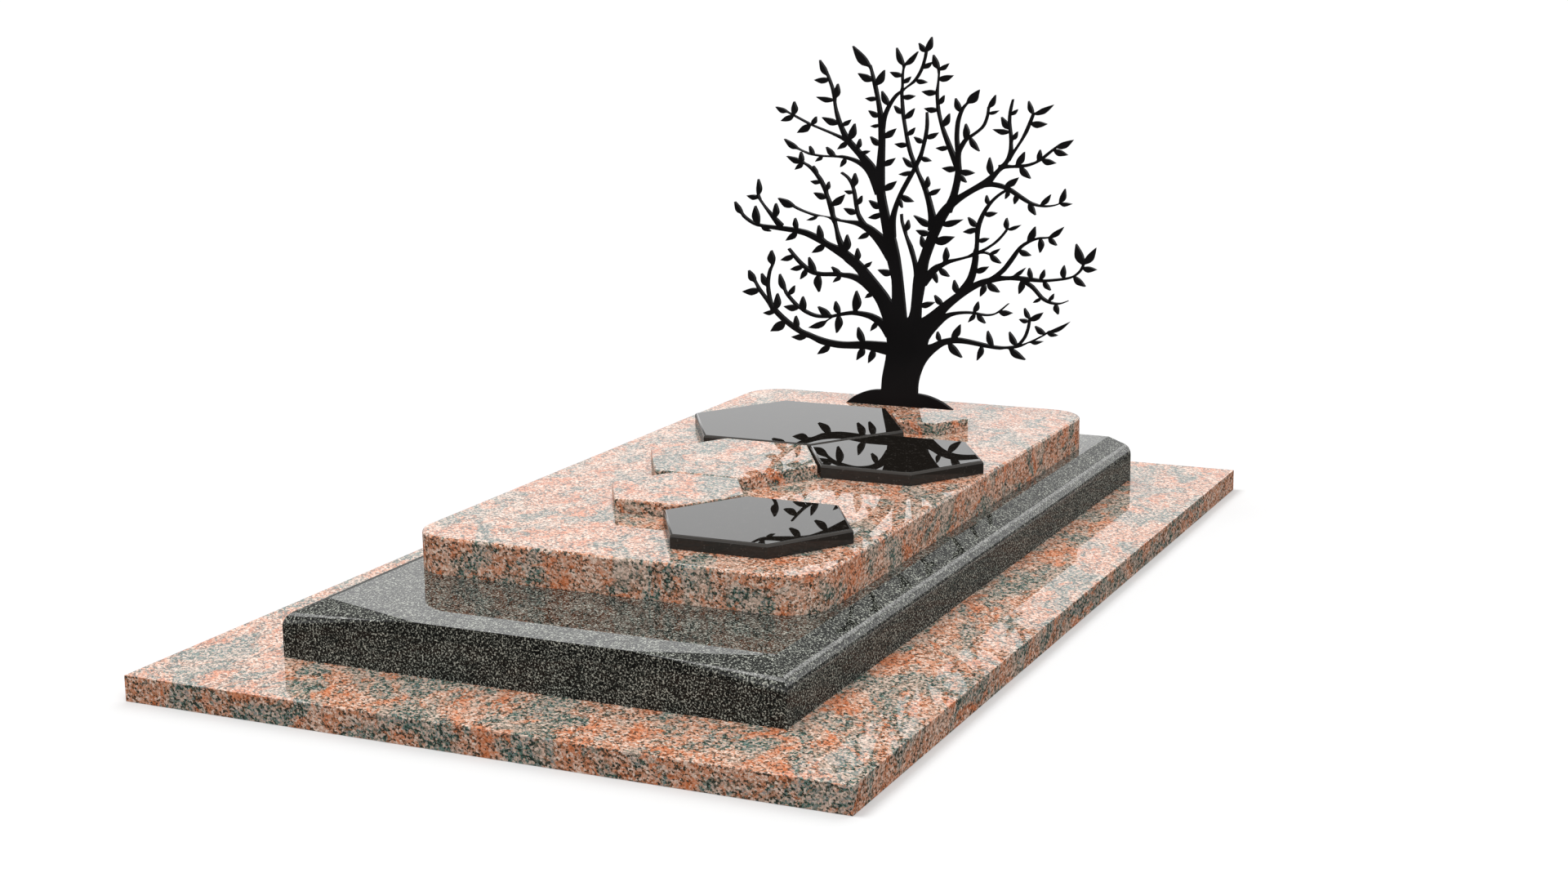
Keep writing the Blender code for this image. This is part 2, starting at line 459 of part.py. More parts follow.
def leaf_outline(foot, tip, width):
    """The outline of a pointed leaf that swings a little to one side."""
    foot = Vector(foot)
    run = Vector(tip) - foot
    length = run.length
    run.normalize()
    across = Vector((-run.y, run.x))
    bend = 1 if run.x > 0 else -1
    one_side = []
    other_side = []
    for share, half, swing in LEAF_SHAPE:
        middle = foot + run * (share * length) - across * (bend * swing * length)
        one_side.append(middle - across * (half * width / 2))
        other_side.append(middle + across * (half * width / 2))
    return [tuple(point) for point in one_side + other_side[-2::-1]]


def tree_outlines():
    """The mound, the trunk, the branches and the leaves, each as its own outline in centimetres."""
    outlines = [MOUND, TRUNK]
    for axis, points, leaves in BRANCHES:
        line = smooth_line(points, CURVE_STEPS)
        outlines.append(branch_outline(line))
        for leaf in leaves:
            tip = leaf[:2]
            if leaf[2] is END:
                end = Vector(line[-1][:2])
                foot = end + (Vector(line[-2][:2]) - end).normalized() * LEAF_LAP
            else:
                row = line[np.argsort(line[:, axis])]
                other = np.interp(leaf[2], row[:, axis], row[:, 1 - axis])
                thick = np.interp(leaf[2], row[:, axis], row[:, 2])
                middle = Vector((other, leaf[2]) if axis == RISES else (leaf[2], other))
                foot = middle + (Vector(tip) - middle).normalized() * (LEAF_START * thick / 2)
            length = math.dist(foot, tip)
            width = leaf[3] if len(leaf) > 3 else max(LEAF_WIDTH * length, LEAST_LEAF_WIDTH)
            outlines.append(leaf_outline(foot, tip, width))
    return outlines


def turned_left(outline):
    """The outline in the order that keeps its inside on the left."""
    area = 0.0
    for here, after in zip(outline, outline[1:] + outline[:1]):
        area += here[0] * after[1] - here[1] * after[0]
    return outline if area > 0 else outline[::-1]


def loop_area(loop):
    return sum(a[0] * b[1] - a[1] * b[0] for a, b in zip(loop, loop[1:] + loop[:1])) / 2


def united(outlines):
    """The closed loops round the union of the outlines, in centimetres. Holes run the other way round."""
    points = []
    faces = []
    for outline in outlines:
        start = len(points)
        points.extend(Vector(point) for point in turned_left(list(outline)))
        faces.append(list(range(start, len(points))))
    places, _, triangles, _, _, owners = delaunay_2d_cdt(points, [], faces, 0, 0.001)
    inside = [triangle for triangle, owner in zip(triangles, owners) if owner]
    following = {}
    used = {(a, b) for t in inside for a, b in zip(t, t[1:] + t[:1])}
    for a, b in used:
        if (b, a) not in used:
            following.setdefault(a, []).append(b)
    loops = []
    while following:
        start = next(iter(following))
        loop = [start]
        while True:
            here = loop[-1]
            ways = following[here]
            if len(ways) > 1 and len(loop) > 1:
                came = places[here] - places[loop[-2]]
                ways.sort(key=lambda way: came.angle_signed(places[way] - places[here]))
            ahead = ways.pop()
            if not ways:
                del following[here]
            if ahead == start:
                break
            loop.append(ahead)
        loops.append([tuple(places[index]) for index in loop])
    return loops


def without_flat_corners(loop):
    """The loop without the points at which it hardly turns, and without points that nearly coincide."""
    kept = []
    for point in loop:
        if not kept or math.dist(point, kept[-1]) > 0.03:
            kept.append(point)
    while len(kept) > 3 and math.dist(kept[0], kept[-1]) <= 0.03:
        kept.pop()
    changed = True
    while changed:
        changed = False
        result = []
        index = 0
        while index < len(kept):
            before = Vector(result[-1] if result else kept[-1])
            here = Vector(kept[index])
            after = Vector(kept[(index + 1) % len(kept)])
            turn = abs((here - before).angle_signed(after - here, 0.0))
            if turn < math.radians(KEPT_CORNER) and len(kept) > 8 and index + 1 < len(kept):
                result.append(kept[index + 1])
                index += 2
                changed = True
            else:
                result.append(kept[index])
                index += 1
        kept = result
    return kept


def inside_loops(centres, loops):
    """Which of the centres lie inside an odd number of the loops."""
    result = np.zeros(len(centres), bool)
    for loop in loops:
        row = np.array(loop)
        after = np.roll(row, -1, axis=0)
        for (x0, z0), (x1, z1) in zip(row, after):
            if z0 == z1:
                continue
            between = (centres[:, 1] > min(z0, z1)) & (centres[:, 1] <= max(z0, z1))
            crossing = x0 + (centres[:, 1] - z0) * (x1 - x0) / (z1 - z0)
            result ^= between & (centres[:, 0] < crossing)
    return result


def make_tree(front, foot, material):
    """The tree as one flat plate that stands upright on the tomb slab."""
    loops = [loop for loop in united(tree_outlines()) if abs(loop_area(loop)) > LEAST_HOLE]
    loops = [without_flat_corners(loop) for loop in loops]
    points = []
    edges = []
    for loop in loops:
        start = len(points)
        count = len(loop)
        points.extend(Vector(point) for point in loop)
        edges.extend((start + index, start + (index + 1) % count) for index in range(count))
    places, _, triangles, _, _, _ = delaunay_2d_cdt(points, edges, [], 0, 0.0005)
    flat = np.array([tuple(place) for place in places])
    triangles = np.array(triangles)
    triangles = triangles[inside_loops(flat[triangles].mean(axis=1), loops)]
    scale = TREE_HEIGHT / flat[:, 1].max()
    bm = bmesh.new()
    verts = [bm.verts.new((x * scale, front, foot + z * scale)) for x, z in flat]
    for triangle in triangles:
        bm.faces.new([verts[index] for index in triangle])
    bmesh.ops.delete(bm, geom=[vert for vert in bm.verts if not vert.link_faces], context="VERTS")
    extruded = bmesh.ops.extrude_face_region(bm, geom=list(bm.faces), use_keep_orig=True)
    moved = [item for item in extruded["geom"] if isinstance(item, bmesh.types.BMVert)]
    bmesh.ops.translate(bm, verts=moved, vec=(0, TREE_THICKNESS, 0))
    return make_object("tree", bm, material)


def main():
    for old in list(bpy.data.objects):
        bpy.data.objects.remove(old)
    pink = make_material("pink_granite", (0.60, 0.42, 0.34), 0.15)
    dark = make_material("dark_granite", (0.09, 0.09, 0.09), 0.15)
    black = make_material("black_granite", (0.02, 0.02, 0.02), 0.08)
    paint = make_material("black_paint", (0.015, 0.014, 0.015), 0.2)

    base_front = -BASE_LENGTH / 2
    base_plan = rectangle(BASE_WIDTH, base_front, -base_front)
    stone_slab("base_slab", base_plan, 0.0, BASE_HEIGHT, BASE_ARRIS, 1, pink)
    make_plinth(dark)

    plinth_front = base_front + PLINTH_FRONT_MARGIN
    tomb_front = plinth_front + TOMB_FRONT_MARGIN
    tomb_back = plinth_front + PLINTH_LENGTH - TOMB_BACK_MARGIN
    tomb_plan = rounded_rectangle(TOMB_WIDTH, tomb_front, tomb_back, TOMB_CORNER, TOMB_CORNER_STEPS)
    tomb_bottom = BASE_HEIGHT + PLINTH_HEIGHT + 2 * GAP
    tomb_top = tomb_bottom + TOMB_HEIGHT
    stone_slab("tomb_slab", tomb_plan, tomb_bottom, tomb_top, TOMB_ARRIS, 4, pink)

    plaque_bottom = tomb_top + GAP
    tomb_middle = (tomb_front + tomb_back) / 2
    for name, (x, y, half_length, half_width, arris) in PLAQUES.items():
        plan = hexagon(x, tomb_middle + y, half_length, half_width)
        material = black if "black" in name else pink
        stone_slab(name, plan, plaque_bottom, plaque_bottom + PLAQUE_HEIGHT, arris, 3, material)
    make_tree(tomb_back - TREE_BACK_MARGIN, plaque_bottom, paint)


main()
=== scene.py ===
"""Dresses a granite grave monument: a wide base slab, a sloped plinth, a tomb slab, six hexagonal plaques
and a flat cut-out tree.

The stones are shaped from their boxes with bevels and cuts. The tree's outline is rounded from its solid.
Each finish is a pattern through the stone, so it runs on from a top to its sides. Lengths are metres, and
the scale of a pattern is in turns or grains to a metre."""

import math

import bmesh
import bpy
from mathutils import Matrix, Vector


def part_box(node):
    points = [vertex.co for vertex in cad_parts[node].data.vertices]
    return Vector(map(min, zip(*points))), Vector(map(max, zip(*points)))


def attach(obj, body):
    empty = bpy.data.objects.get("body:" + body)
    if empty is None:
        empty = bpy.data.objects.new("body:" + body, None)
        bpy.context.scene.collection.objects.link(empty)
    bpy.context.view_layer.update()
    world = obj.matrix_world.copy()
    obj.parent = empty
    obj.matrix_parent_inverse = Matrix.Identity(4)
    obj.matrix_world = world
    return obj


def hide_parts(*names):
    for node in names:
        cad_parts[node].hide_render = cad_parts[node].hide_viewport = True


bl_info = {
    "name": "Granite grave monument",
    "version": (1, 0, 0),
    "blender": (4, 5, 0),
    "location": "3D View > Sidebar > Monument",
    "description": "Shapes and finishes the stones and the tree of a granite grave monument",
    "category": "Object",
}

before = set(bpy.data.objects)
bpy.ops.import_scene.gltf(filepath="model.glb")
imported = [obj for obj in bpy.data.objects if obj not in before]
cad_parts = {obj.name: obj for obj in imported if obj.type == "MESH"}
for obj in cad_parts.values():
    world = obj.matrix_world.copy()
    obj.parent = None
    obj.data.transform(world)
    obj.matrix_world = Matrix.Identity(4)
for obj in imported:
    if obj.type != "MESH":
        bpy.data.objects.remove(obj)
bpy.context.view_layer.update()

PLAQUES = (
    "plaque_black_rear",
    "plaque_black_middle",
    "plaque_black_front",
    "plaque_pink_middle",
    "plaque_pink_front",
    "plaque_pink_rear",
)

# How finely each edge is rounded
BASE_ARRIS_STEPS = 2
TOMB_CORNER_STEPS = 28
TOMB_ARRIS_STEPS = 6
PLAQUE_ARRIS_STEPS = 5
# The turn over an edge, in degrees, past which it stays sharp
CREASE = 32
PLINTH_CREASE = 12
# Points nearer than this are at the same height or depth
NEAR = 1e-5

# Clear gloss over the polished stones. A face that looks up by more than the fade has all of it, and an
# upright side the share that its stone has.
COAT = {"coat_roughness": 0.01, "coat_ior": 1.5, "specular_ior_level": 0.0}
GLOSS_FADE = (0.02, 0.25)
SIDE_GLOSS = 0.2
BLACK_SIDE_GLOSS = 0.45
RELIEF_STRENGTH = 0.35

# Pink granite: how its veins wander and stretch, their scales, and the noise over which each fades in
DRIFT_SCALE = 3.5
DRIFT_REACH = 0.24
STREAKS = {"Rotation": (0.3, 0.2, 0.5), "Scale": (1.0, 2.2, 1.0)}
COOL_SCALE = 11.5
RUST_SCALE = 20.0
PALE_SCALE = 16.0
PALE_SHIFT = (3.0, 5.0, 1.0)
VEIN = {"detail": 8.0, "roughness": 0.76}
COOL_BAND = (0.47, 0.54)
RUST_BAND = (0.51, 0.58)
PALE_BAND = (0.53, 0.61)
RUST_SHARE = 0.85
PALE_SHARE = 0.6
# Its grains: the ragged edge between them, their stretch and their scales
JITTER_SCALE = 420.0
JITTER_REACH = 0.005
GRAIN_LIE = {"Rotation": (0.2, 0.1, 0.9), "Scale": (1.0, 1.7, 1.0)}
COARSE_SCALE = 290.0
FINE_SCALE = 620.0
COARSE_SHARE = 0.7

# Dark granite: its speckle, its clouds, and how far a face looks up where a painted highlight lies along
# its creases
SPECKLE_SCALE = 290.0
SPECKLE_JITTER = 350.0
CLOUD_SCALE = 30.0
CLOUD_SHARE = 0.10
HIGHLIGHT_FROM = (0.68, 0.82)
HIGHLIGHT_TO = (0.90, 0.93)

# Black granite: its grains, the few that glint, and how far a face looks up where a painted sheen pales
# its edge and sides
BLACK_SCALE = 420.0
GLINT_SCALE = 60.0
GLINT_GRAINS = (0.90, 0.97)
GLINT_SPOTS = (0.45, 0.6)
GLINT = (0.05, 0.045, 0.04, 1.0)
EDGE_FADE = (0.93, 0.99)
UPRIGHT_FADE = (0.0, 0.45)
UPRIGHT_SHARE = 0.3

# Black paint: its fine peel, its broad patches and its weak sheen
PEEL_SCALE = 260.0
PATCH_SCALE = 5.0
PAINT_SHEEN = 0.06


class Wire:
    """A value in a material. Arithmetic on it adds Math nodes."""

    def __init__(self, finish, socket):
        self.finish = finish
        self.socket = socket

    def maths(self, operation, first, second):
        settings = {"operation": operation}
        return self.finish.node("ShaderNodeMath", settings, {0: first, 1: second})

    def __add__(self, other):
        return self.maths("ADD", self, other)

    def __sub__(self, other):
        return self.maths("SUBTRACT", self, other)

    def __rsub__(self, other):
        return self.maths("SUBTRACT", other, self)

    def __mul__(self, other):
        return self.maths("MULTIPLY", self, other)


class Web:
    """A node tree that is built up node by node."""

    def __init__(self, owner, shader):
        owner.use_nodes = True
        self.tree = owner.node_tree
        self.shader = self.tree.nodes[shader]

    def join(self, source, target):
        """Gives the target socket a value, or a link from the source."""
        if isinstance(source, Wire):
            self.tree.links.new(source.socket, target)
        else:
            target.default_value = source

    def node(self, kind, settings, inputs, output=0):
        """Adds a node with its settings and its inputs, and returns the wire from its output."""
        made = self.tree.nodes.new(kind)
        for name, value in settings.items():
            if name == "stops":
                self.fill_ramp(made.color_ramp, value)
            else:
                setattr(made, name, value)
        for name, value in inputs.items():
            self.join(value, made.inputs[name])
        return Wire(self, made.outputs[output])

    def fill_ramp(self, ramp, stops):
        while len(ramp.elements) < len(stops):
            ramp.elements.new(0.5)
        for element, (place, colour) in zip(ramp.elements, stops):
            element.position = place
            element.color = (*colour, 1.0)

    def ramp(self, value, stops):
        return self.node("ShaderNodeValToRGB", {"stops": stops}, {"Fac": value})

    def level(self, value, low, high, bottom=0.0, top=1.0):
        """The value taken from low..high to bottom..top, and held there."""
        inputs = {"Value": value, "From Min": low, "From Max": high, "To Min": bottom, "To Max": top}
        return self.node("ShaderNodeMapRange", {"interpolation_type": "SMOOTHSTEP"}, inputs)

    def mix(self, share, first, second):
        settings = {"data_type": "RGBA", "clamp_factor": True}
        return self.node("ShaderNodeMix", settings, {0: share, 6: first, 7: second}, output=2)

    def set(self, **values):
        """Sets the shader's sockets: one word each, with _ for a space."""
        for name, value in values.items():
            self.join(value, self.shader.inputs[name.replace("_", " ").title().replace("Ior", "IOR")])


class Finish(Web):
    """The material of one of the monument's surfaces."""

    def __init__(self, name):
        self.material = bpy.data.materials.new(name)
        super().__init__(self.material, "Principled BSDF")

    def noise(self, place, scale, detail=2.0, roughness=0.5, output="Fac"):
        inputs = {"Vector": place, "Scale": scale, "Detail": detail, "Roughness": roughness}
        return self.node("ShaderNodeTexNoise", {}, inputs, output=output)

    def grains(self, place, scale):
        """A random value for each grain of the stone."""
        colour = self.node("ShaderNodeTexVoronoi", {}, {"Vector": place, "Scale": scale}, output="Color")
        return self.node("ShaderNodeSeparateColor", {}, {"Color": colour})

    def place(self):
        return self.node("ShaderNodeTexCoord", {}, {}, output="Object")

    def moved(self, place, wander, reach):
        """The place shifted by a colour noise, up to the reach."""
        centred = self.vector("SUBTRACT", {0: wander, 1: (0.5, 0.5, 0.5)})
        return self.vector("ADD", {0: place, 1: self.vector("SCALE", {0: centred, "Scale": reach})})

    def vector(self, operation, inputs):
        return self.node("ShaderNodeVectorMath", {"operation": operation}, inputs)

    def stretched(self, place, lie):
        """The place in a pattern that is turned and drawn out as the lie says."""
        return self.node("ShaderNodeMapping", {"vector_type": "TEXTURE"}, {"Vector": place, **lie})

    def shifted(self, place, step):
        return self.node("ShaderNodeMapping", {}, {"Vector": place, "Location": step})

    def facing_up(self):
        """1 on a level top, 0 on an upright side."""
        normal = self.node("ShaderNodeNewGeometry", {}, {}, output="Normal")
        return self.node("ShaderNodeSeparateXYZ", {}, {"Vector": normal}, output="Z")

    def polish(self, side_gloss):
        """A clear mirror gloss over the stone's grains, and a lesser one on its upright sides."""
        self.set(coat_weight=self.level(self.facing_up(), *GLOSS_FADE, side_gloss, 1.0), **COAT)

    def relief(self, height, depth):
        inputs = {"Strength": RELIEF_STRENGTH, "Distance": depth, "Height": height}
        self.set(normal=self.node("ShaderNodeBump", {}, inputs, output="Normal"))


def pink_granite(tones, name, origin, warmth, painted_light):
    """Salmon, cream and green-black grains that drift in bands through the stone.

    The origin is where in the rock the stone is cut. Warmth holds the green bands back, and the last
    setting is painted light:
    it brings more of the pale ones, to pale a stone that stands in brighter light."""
    finish = Finish(name)
    place = finish.shifted(finish.place(), origin)
    drift = finish.noise(place, DRIFT_SCALE, detail=3.0, output="Color")
    streaks = finish.stretched(finish.moved(place, drift, DRIFT_REACH), STREAKS)
    bands = finish.noise(streaks, COOL_SCALE, **VEIN)
    patches = finish.noise(streaks, RUST_SCALE, **VEIN)
    pales = finish.noise(finish.shifted(streaks, PALE_SHIFT), PALE_SCALE, **VEIN)
    jitter = finish.noise(place, JITTER_SCALE, detail=1.0, output="Color")
    loose = finish.stretched(finish.moved(place, jitter, JITTER_REACH), GRAIN_LIE)
    coarse = finish.grains(loose, COARSE_SCALE)
    fine = finish.grains(loose, FINE_SCALE)
    grain = coarse * COARSE_SHARE + fine * (1.0 - COARSE_SHARE)
    warm = finish.ramp(
        grain,
        [
            (0.20, tones.dark_grain),
            (0.29, (0.10, 0.072, 0.050)),
            (0.37, (0.38, 0.135, 0.060)),
            (0.52, tones.salmon_grain),
            (0.68, (0.50, 0.30, 0.22)),
            (0.82, tones.cream_grain),
        ],
    )
    cool = finish.ramp(
        grain,
        [
            (0.26, tones.dark_grain),
            (0.38, (0.045, 0.100, 0.078)),
            (0.50, (0.140, 0.230, 0.190)),
            (0.57, (0.250, 0.245, 0.265)),
            (0.66, (0.44, 0.26, 0.17)),
            (0.82, (0.56, 0.47, 0.40)),
        ],
    )
    rust = finish.ramp(
        grain,
        [
            (0.19, (0.045, 0.040, 0.030)),
            (0.31, (0.32, 0.085, 0.032)),
            (0.55, (0.60, 0.165, 0.055)),
            (0.84, (0.60, 0.30, 0.18)),
        ],
    )
    pale = finish.ramp(
        grain,
        [
            (0.18, (0.09, 0.095, 0.075)),
            (0.31, (0.34, 0.26, 0.20)),
            (0.55, (0.56, 0.36, 0.27)),
            (0.80, tones.cream_grain),
        ],
    )
    coolness = finish.level(bands - warmth, *COOL_BAND)
    colour = finish.mix(coolness, warm, cool)
    glow = finish.level(patches, *RUST_BAND) * (1.0 - coolness)
    colour = finish.mix(glow * RUST_SHARE, colour, rust)
    colour = finish.mix(finish.level(pales + painted_light, *PALE_BAND) * PALE_SHARE, colour, pale)
    finish.set(base_color=colour, roughness=finish.level(grain, 0.2, 0.8, bottom=0.42, top=0.24))
    finish.polish(SIDE_GLOSS)
    finish.relief(grain, depth=0.0004)
    return finish.material


def dark_granite(tones, name):
    """Near-black stone with a close grey speckle, and a painted highlight: a pale line along its creases,
    where they lean between level and upright.
    """
    finish = Finish(name)
    place = finish.place()
    jitter = finish.noise(place, SPECKLE_JITTER, detail=1.0, output="Color")
    loose = finish.moved(place, jitter, JITTER_REACH)
    speckle = finish.noise(loose, SPECKLE_SCALE, roughness=0.65)
    clouds = finish.noise(place, CLOUD_SCALE)
    grain = speckle + (clouds - 0.5) * CLOUD_SHARE
    colour = finish.ramp(
        grain,
        [
            (0.50, tones.plinth_dark),
            (0.54, (0.025, 0.028, 0.024)),
            (0.575, (0.130, 0.138, 0.118)),
            (0.63, tones.plinth_grey),
        ],
    )
    up = finish.facing_up()
    # Painted highlight: a pale band on faces that lean part way up, where the creases catch the light
    highlight = finish.level(up, *HIGHLIGHT_FROM) - finish.level(up, *HIGHLIGHT_TO)
    painted_highlight = highlight * finish.level(grain, 0.42, 0.56, bottom=0.22, top=0.58)
    colour = finish.mix(painted_highlight, colour, (*tones.plinth_highlight, 1.0))
    finish.set(base_color=colour, roughness=finish.level(grain, 0.4, 0.65, bottom=0.38, top=0.22))
    finish.polish(SIDE_GLOSS)
    finish.relief(grain, depth=0.0003)
    return finish.material


def black_granite(tones, name):
    """Deep black stone with rare fine specks, and a painted sheen that greys its rounded top edge and,
    less, its upright sides.
    """
    finish = Finish(name)
    place = finish.place()
    grain = finish.grains(place, BLACK_SCALE)
    spots = finish.noise(place, GLINT_SCALE, detail=1.0)
    seen = finish.level(grain, *GLINT_GRAINS) * finish.level(spots, *GLINT_SPOTS)
    colour = finish.mix(seen, (*tones.plaque_black, 1.0), GLINT)
    up = finish.facing_up()
    side = 1.0 - finish.level(up, *EDGE_FADE)
    # Painted sheen: a greyer tone, strongest on the rounded top edge and weaker on the upright sides
    painted_sheen = side * finish.level(up, *UPRIGHT_FADE, bottom=UPRIGHT_SHARE)
    colour = finish.mix(painted_sheen, colour, (*tones.plaque_sheen, 1.0))
    finish.set(base_color=colour, roughness=finish.level(grain, 0.2, 0.9, bottom=0.30, top=0.20))
    finish.polish(BLACK_SIDE_GLOSS)
    finish.relief(grain, depth=0.0001)
    return finish.material


def black_paint(tones, name):
    """Baked black paint on steel plate, with a faint unevenness."""
    finish = Finish(name)
    place = finish.place()
    peel = finish.noise(place, PEEL_SCALE, detail=1.0)
    patches = finish.noise(place, PATCH_SCALE)
    shade = finish.level(patches, 0.35, 0.65, bottom=0.8, top=1.25)
    tint = finish.vector("SCALE", {0: tones.tree_paint, "Scale": shade})
    roughness = finish.level(patches, 0.3, 0.7, bottom=0.36, top=0.46)
    finish.set(base_color=tint, roughness=roughness, specular_ior_level=PAINT_SHEEN)
    finish.relief(peel, depth=0.00012)
    return finish.material


# Node, or the start of its name: its finish's name, slot and maker, and the pink granite's origin, warmth
# and painted light, the paling that stands in for brighter light on the stone
FINISHES = {
    "base_slab": ("base_granite", "granite_pink", pink_granite, ((0.9, 2.3, 0.0), 0.0, 0.0)),
    # The tomb slab's granite is the base's stone with more pale bands: painted light for its brighter-lit
    # front
    "tomb_slab": ("tomb_granite", "granite_pink", pink_granite, ((0.9, 2.3, 0.0), 0.012, 0.03)),
    "plaque_pink": ("plaque_granite", "granite_pink", pink_granite, ((5.3, 1.2, 0.6), 0.0, 0.0)),
    "plinth": ("dark_granite", "granite_dark", dark_granite, ()),
    "plaque_black": ("black_granite", "granite_black", black_granite, ()),
    "tree": ("black_paint", "tree_black", black_paint, ()),
}


def finish_for(node):
    """The finish of the node, made once, and its slot."""
    name, slot, maker, settings = next(FINISHES[start] for start in FINISHES if node.startswith(start))
    material = bpy.data.materials.get(name) or maker(bpy.context.scene.monument_tones, name, *settings)
    return material, slot


def finish_piece(bm, node, crease=CREASE):
    """Makes the shape the node's object, smooth over edges that turn less than the crease."""
    bmesh.ops.recalc_face_normals(bm, faces=bm.faces)
    mesh = bpy.data.meshes.new(node + "_stone")
    bm.to_mesh(mesh)
    bm.free()
    mesh.shade_smooth()
    mesh.set_sharp_from_angle(angle=math.radians(crease))
    material, slot = finish_for(node)
    mesh.materials.append(material)
    piece = bpy.data.objects.new(node + "_finished", mesh)
    bpy.context.scene.collection.objects.link(piece)
    weighted = piece.modifiers.new("Level normals", "WEIGHTED_NORMAL")
    weighted.keep_sharp = True
    weighted.weight = 100
    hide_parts(node)
    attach(piece, "root")


def block(node):
    """A plain block that fills the node's box."""
    low, high = (Vector(corner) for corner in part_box(node))
    bm = bmesh.new()
    fitted = Matrix.Translation((low + high) / 2) @ Matrix.Diagonal((*(high - low), 1.0))
    bmesh.ops.create_cube(bm, size=1.0, matrix=fitted)
    return bm


def upright_edges(bm):
    return [edge for edge in bm.edges if abs(edge.verts[0].co.z - edge.verts[1].co.z) > NEAR]


def top_edges(bm):
    top = max(vert.co.z for vert in bm.verts)
    return [edge for edge in bm.edges if all(abs(vert.co.z - top) < NEAR for vert in edge.verts)]


def round_off(bm, edges, radius, segments):
    bmesh.ops.bevel(
        bm,
        geom=edges,
        offset=radius,
        offset_type="OFFSET",
        segments=segments,
        profile=0.5,
        affect="EDGES",
        clamp_overlap=True,
        material=-1,
    )


def length(name, description, default):
    """A size that can be changed, in metres."""
    return bpy.props.FloatProperty(name=name, description=description, default=default, unit="LENGTH")


def tone(name, description, default):
    """A colour that can be changed."""
    return bpy.props.FloatVectorProperty(
        name=name, description=description, default=default, subtype="COLOR"
    )


class MonumentSizes(bpy.types.PropertyGroup):
    base_arris: length("Base arris", "Rounding of the base slab's top edges", 0.0015)
    tomb_corner: length("Tomb slab corner", "Radius of the tomb slab's upright corners", 0.089)
    tomb_arris: length("Tomb slab arris", "Rounding of the tomb slab's top edge", 0.0055)
    black_arris: length("Black plaque arris", "Rounding of the black plaques' top edges", 0.006)
    pink_arris: length("Pink plaque arris", "Rounding of the pink plaques' top edges", 0.003)
    slope_inset: length("Slope inset", "From the plinth's side to its flat top", 0.055)
    nose_inset: length("Nose inset", "From the plinth's side to the foot of its slope", 0.0165)
    nose_drop: length("Slope drop", "Fall of the plinth's slope", 0.0143)
    nose_height: length("Nose height", "Height of the plinth's rounded nose", 0.0277)
    nose_steps: bpy.props.IntProperty(
        name="Nose steps", description="Facets over the plinth's nose", default=14
    )
    corner_cut_back: length("Corner cut back", "From the plinth's front to its flat top's corner", 0.070)
    apex_from_middle: length("Apex", "Where a corner's cut runs out on the front edge", 0.2145)
    leaf_corner: bpy.props.FloatProperty(
        name="Leaf corner",
        description="Turn of the tree's outline that stays sharp",
        default=1.3,
        unit="ROTATION",
    )


class MonumentTones(bpy.types.PropertyGroup):
    salmon_grain: tone("Salmon grain", "Feldspar of the pink granite", (0.62, 0.27, 0.15))
    cream_grain: tone("Cream grain", "Quartz of the pink granite", (0.78, 0.62, 0.52))
    dark_grain: tone("Dark grain", "Mica of the pink granite", (0.022, 0.030, 0.024))
    plinth_dark: tone("Plinth dark", "Ground of the dark granite", (0.004, 0.004, 0.0035))
    plinth_grey: tone("Plinth grey", "Speckle of the dark granite", (0.40, 0.41, 0.36))
    # The colour of the painted highlight along the plinth's creases
    plinth_highlight: tone("Plinth honed", "Crease of the dark granite", (0.40, 0.40, 0.39))
    plaque_black: tone("Plaque black", "Ground of the black granite", (0.008, 0.0065, 0.005))
    # The colour of the painted sheen on the black plaques' rounded edge and sides
    plaque_sheen: tone("Plaque edge", "Rounded edge of the black granite", (0.040, 0.036, 0.032))
    tree_paint: tone("Tree paint", "Paint of the tree", (0.006, 0.0056, 0.006))
    backdrop: tone("Backdrop", "Light of the studio round the monument", (1.0, 1.0, 1.0))


class MONUMENT_OT_base_slab(bpy.types.Operator):
    """Shapes the wide base slab with a fine arris round its top"""

    bl_idname = "monument.base_slab"
    bl_label = "Base slab"

    def execute(self, context):
        sizes = context.scene.monument_sizes
        bm = block("base_slab")
        round_off(bm, top_edges(bm), sizes.base_arris, BASE_ARRIS_STEPS)
        finish_piece(bm, "base_slab")
        return {"FINISHED"}


